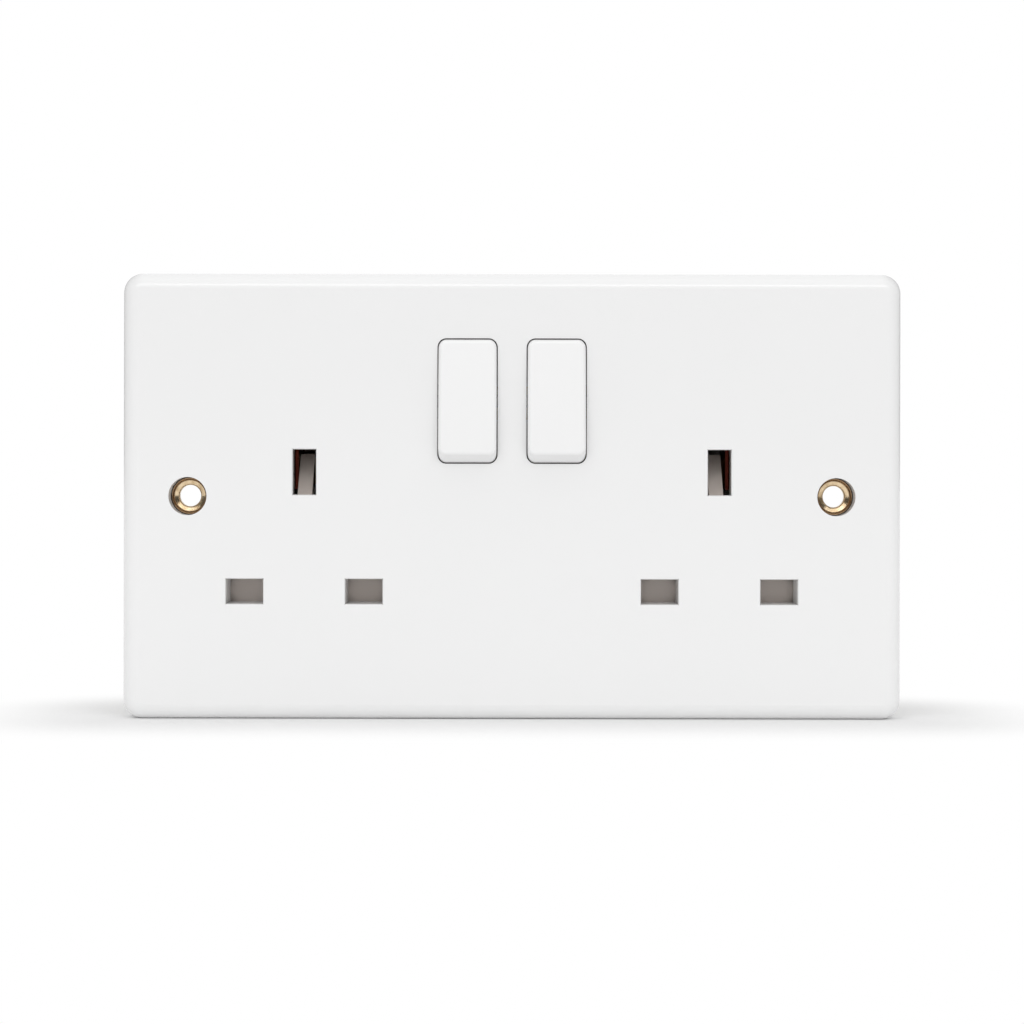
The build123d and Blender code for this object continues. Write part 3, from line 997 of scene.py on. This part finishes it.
class SOCKET_OT_terminal_marks(bpy.types.Operator):
    """Raise the letters of the three terminals on the back of the housing"""

    bl_idname = "socket.terminal_marks"
    bl_label = "Add terminal marks"

    def execute(self, context):
        marks = context.scene.socket_marks
        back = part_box("base_moulding")[1].y
        material = frame["nodes"]["base_moulding"].data.materials[0]
        for stem in ("neutral", "earth", "line"):
            screw_low, screw_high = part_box(stem + "_terminal_screw")
            centre = (screw_low + screw_high) / 2
            curve = bpy.data.curves.new(stem + "_letter", "FONT")
            curve.body = stem[0].upper()
            curve.align_x = "CENTER"
            curve.size = marks.letter_height * FONT_SIZE_OF_CAPITAL
            curve.extrude = marks.letter_rise
            curve.offset = marks.letter_weight
            curve.bevel_depth = marks.letter_edge
            curve.bevel_resolution = 2
            letter = bpy.data.objects.new("letter", curve)
            mesh = bpy.data.meshes.new_from_object(letter)
            mesh.transform(from_behind(centre.x, centre.z + marks.letter_lift, back))
            bpy.data.objects.remove(letter)
            new_piece(stem + "_letter", mesh, material, "root")
        return {"FINISHED"}


def raised_ring(shape, radius, width, rise, steps, place):
    """Low ring with a ridge round its top, spun about Z and then set in place."""
    inner, outer = radius - width / 2, radius + width / 2
    foot, shoulder = -rise, rise / 2
    section = [(outer, foot), (outer, shoulder), (radius, rise), (inner, shoulder), (inner, foot)]
    spin_section(shape, section, steps, place)


class SOCKET_OT_ejector_marks(bpy.types.Operator):
    """Add the rings that ejector pins leave on the back of the housing"""

    bl_idname = "socket.ejector_marks"
    bl_label = "Add ejector marks"
    # Where the pins pressed, across and up the housing
    columns = (-42 * MM, -26 * MM, 26 * MM, 42 * MM)
    rows = (-20 * MM, 4 * MM, 18 * MM)

    def execute(self, context):
        marks = context.scene.socket_marks
        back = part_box("base_moulding")[1].y
        shape = bmesh.new()
        for x in self.columns:
            for z in self.rows:
                raised_ring(
                    shape,
                    marks.ring_radius,
                    marks.ring_width,
                    marks.ring_rise,
                    marks.ring_steps,
                    from_behind(x, z, back),
                )
        housing = frame["nodes"]["base_moulding"].data.materials[0]
        mesh = mesh_from(shape, "housing_ejector_marks")
        new_piece("housing_ejector_marks", mesh, housing, "root")
        return {"FINISHED"}


class SOCKET_OT_stage(bpy.types.Operator):
    """Set up the floor, the lamps, the room light and the camera"""

    bl_idname = "socket.stage"
    bl_label = "Set the stage"
    # How far from the plate the floor still takes its shadow
    shadow_reach = 40 * MM
    # The room's strength changes between these parts of a direction's length, along X or Y
    lit_sides = (0.5, 0.95)
    seen_sides = (0.12, 0.45)
    camera_side = (-0.99, -0.9)

    def execute(self, context):
        studio = context.scene.socket_studio
        foot = cad_box[0].z

        floor = bmesh.new()
        bmesh.ops.create_grid(floor, x_segments=1, y_segments=1, size=studio.floor_width / 2)
        bmesh.ops.translate(floor, verts=floor.verts, vec=(0, 0, foot))
        mesh = bpy.data.meshes.new("floor")
        floor.to_mesh(mesh)
        floor.free()
        mesh.materials.append(self.floor_material())
        ground = bpy.data.objects.new("floor", mesh)
        # A lit table: soft light comes up through it, and it adds no painted shade to the plate
        # where they meet
        ground.visible_shadow = False
        context.scene.collection.objects.link(ground)

        self.world_light(studio)
        self.softbox(
            "overhead_softbox",
            studio.lamp_elevation,
            studio.lamp_power,
            studio.lamp_depth,
            studio,
        )
        self.softbox(
            "front_softbox",
            studio.front_lamp_elevation,
            studio.front_lamp_power,
            studio.front_lamp_depth,
            studio,
        )

        lens = bpy.data.cameras.new("camera")
        lens.sensor_width = 36.0
        lens.lens = studio.camera_lens
        lens.clip_start = 0.01
        seen_width = studio.camera_distance * lens.sensor_width / lens.lens
        lens.shift_y = -(studio.camera_height + studio.frame_drop) / seen_width
        camera = bpy.data.objects.new("camera", lens)
        turn = Matrix.Rotation(math.radians(90), 4, "X")
        roll = Matrix.Rotation(studio.camera_roll, 4, "Z")
        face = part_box(PLATE[0])[0].y
        place = Matrix.Translation((0, face - studio.camera_distance, studio.camera_height))
        camera.matrix_world = place @ turn @ roll
        context.scene.collection.objects.link(camera)
        context.scene.camera = camera
        context.scene.view_settings.view_transform = "Standard"
        return {"FINISHED"}

    def softbox(self, name, elevation, power, depth, studio):
        """Wide soft lamp in front of the plate, at that elevation over its middle."""
        lamp = bpy.data.lights.new(name, "AREA")
        lamp.shape = "RECTANGLE"
        lamp.size = studio.lamp_size
        lamp.size_y = depth
        lamp.energy = power
        box = bpy.data.objects.new(name, lamp)
        away = Vector((0, -math.cos(elevation), math.sin(elevation)))
        box.location = away * studio.lamp_distance
        box.rotation_euler = away.to_track_quat("Z", "Y").to_euler()
        bpy.context.scene.collection.objects.link(box)

    def floor_material(self):
        """White paper: it takes the shadow at the foot, and fades to plain white away from it."""
        material, tree = new_material("white_paper_floor")
        paper = add(tree, "ShaderNodeBsdfDiffuse", {"Color": linear("F4F4F4")})
        low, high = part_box(PLATE[0])
        place = add(tree, "ShaderNodeTexCoord").outputs["Object"]
        aside = add(tree, "ShaderNodeVectorMath", {0: place}, operation="ABSOLUTE")
        beyond = add(
            tree,
            "ShaderNodeVectorMath",
            {0: aside.outputs["Vector"], 1: (high.x, -low.y, -low.z)},
            operation="SUBTRACT",
        )
        outside = add(
            tree,
            "ShaderNodeVectorMath",
            {0: beyond.outputs["Vector"], 1: (0.0, 0.0, 0.0)},
            operation="MAXIMUM",
        )
        gap = add(tree, "ShaderNodeVectorMath", {0: outside.outputs["Vector"]}, operation="LENGTH")
        fade = add(
            tree,
            "ShaderNodeMapRange",
            {"Value": gap.outputs["Value"], "From Min": 0.0, "From Max": self.shadow_reach},
            interpolation_type="SMOOTHERSTEP",
        )
        path = add(tree, "ShaderNodeLightPath")
        mirrored = add(
            tree,
            "ShaderNodeMath",
            {0: path.outputs["Is Glossy Ray"], 1: path.outputs["Is Transmission Ray"]},
            operation="MAXIMUM",
        )
        seen = add(
            tree,
            "ShaderNodeMath",
            {0: path.outputs["Is Camera Ray"], 1: mirrored.outputs["Value"]},
            operation="MAXIMUM",
        )
        share = add(
            tree,
            "ShaderNodeMath",
            {0: fade.outputs["Result"], 1: seen.outputs["Value"]},
            operation="MULTIPLY",
        )
        white = add(tree, "ShaderNodeEmission", {"Color": linear("FFFFFF"), "Strength": 1.0})
        surface = add(tree, "ShaderNodeMixShader", {"Fac": share.outputs["Value"]})
        tree.links.new(paper.outputs["BSDF"], surface.inputs[1])
        tree.links.new(white.outputs["Emission"], surface.inputs[2])
        add(tree, "ShaderNodeOutputMaterial", {"Surface": surface.outputs["Shader"]})
        return material

    def world_light(self, studio):
        """White background, and a soft room that is dimmer at the sides.

        In glossy reflections the sides are darker still, and so is the camera's place.
        """
        world = bpy.data.worlds.new("studio")
        world.use_nodes = True
        tree = world.node_tree
        tree.nodes.clear()
        path = add(tree, "ShaderNodeLightPath")
        direct = add(
            tree,
            "ShaderNodeMath",
            {0: path.outputs["Is Camera Ray"], 1: path.outputs["Is Transmission Ray"]},
            operation="MAXIMUM",
        )
        direction = add(tree, "ShaderNodeTexCoord").outputs["Generated"]
        axes = add(tree, "ShaderNodeSeparateXYZ", {"Vector": direction})
        sideways = add(tree, "ShaderNodeMath", {0: axes.outputs["X"]}, operation="ABSOLUTE")
        lit_sides = add(
            tree,
            "ShaderNodeMapRange",
            {
                "Value": sideways.outputs["Value"],
                "From Min": self.lit_sides[0],
                "From Max": self.lit_sides[1],
                "To Min": studio.world_strength,
                "To Max": studio.world_strength * studio.side_shade,
            },
        )
        seen_sides = add(
            tree,
            "ShaderNodeMapRange",
            {
                "Value": sideways.outputs["Value"],
                "From Min": self.seen_sides[0],
                "From Max": self.seen_sides[1],
                "To Min": 1.0,
                "To Max": studio.dark_side_shade,
            },
        )
        seen_behind = add(
            tree,
            "ShaderNodeMapRange",
            {
                "Value": axes.outputs["Y"],
                "From Min": self.camera_side[0],
                "From Max": self.camera_side[1],
                "To Min": studio.dark_side_shade,
                "To Max": 1.0,
            },
        )
        seen = add(
            tree,
            "ShaderNodeMath",
            {0: seen_sides.outputs["Result"], 1: seen_behind.outputs["Result"]},
            operation="MULTIPLY",
        )
        room = add(
            tree,
            "ShaderNodeMix",
            {
                "Factor": path.outputs["Is Glossy Ray"],
                "A": lit_sides.outputs["Result"],
                "B": seen.outputs["Value"],
            },
        )
        light = add(
            tree,
            "ShaderNodeMix",
            {"Factor": direct.outputs["Value"], "A": room.outputs["Result"], "B": 1.0},
        )
        background = add(
            tree,
            "ShaderNodeBackground",
            {"Color": linear("FFFFFF"), "Strength": light.outputs["Result"]},
        )
        add(tree, "ShaderNodeOutputWorld", {"Surface": background.outputs["Background"]})
        bpy.context.scene.world = world


class SOCKET_PT_panel(bpy.types.Panel):
    """Lists the settings and steps of the socket"""

    bl_label = "Switched socket"
    bl_idname = "SOCKET_PT_panel"
    bl_space_type = "VIEW_3D"
    bl_region_type = "UI"
    bl_category = "Socket"

    def draw(self, context):
        layout = self.layout
        for group in ("socket_finishes", "socket_marks", "socket_studio"):
            settings = getattr(context.scene, group)
            box = layout.box()
            for name in settings.__annotations__:
                box.prop(settings, name)
        for operator in OPERATORS:
            layout.operator(operator.bl_idname)


OPERATORS = [
    SOCKET_OT_mouldings,
    SOCKET_OT_eyelets,
    SOCKET_OT_metals,
    SOCKET_OT_springs,
    SOCKET_OT_terminal_marks,
    SOCKET_OT_ejector_marks,
    SOCKET_OT_stage,
]
CLASSES = [SocketFinishes, SocketMarks, SocketStudio, *OPERATORS, SOCKET_PT_panel]


def register():
    for cls in CLASSES:
        bpy.utils.register_class(cls)
    bpy.types.Scene.socket_finishes = PointerProperty(type=SocketFinishes)
    bpy.types.Scene.socket_marks = PointerProperty(type=SocketMarks)
    bpy.types.Scene.socket_studio = PointerProperty(type=SocketStudio)


def unregister():
    del bpy.types.Scene.socket_studio
    del bpy.types.Scene.socket_marks
    del bpy.types.Scene.socket_finishes
    for cls in reversed(CLASSES):
        bpy.utils.unregister_class(cls)


def main():
    register()
    bpy.ops.socket.mouldings()
    bpy.ops.socket.eyelets()
    bpy.ops.socket.metals()
    bpy.ops.socket.springs()
    bpy.ops.socket.terminal_marks()
    bpy.ops.socket.ejector_marks()
    bpy.ops.socket.stage()


if __name__ == "__main__":
    main()
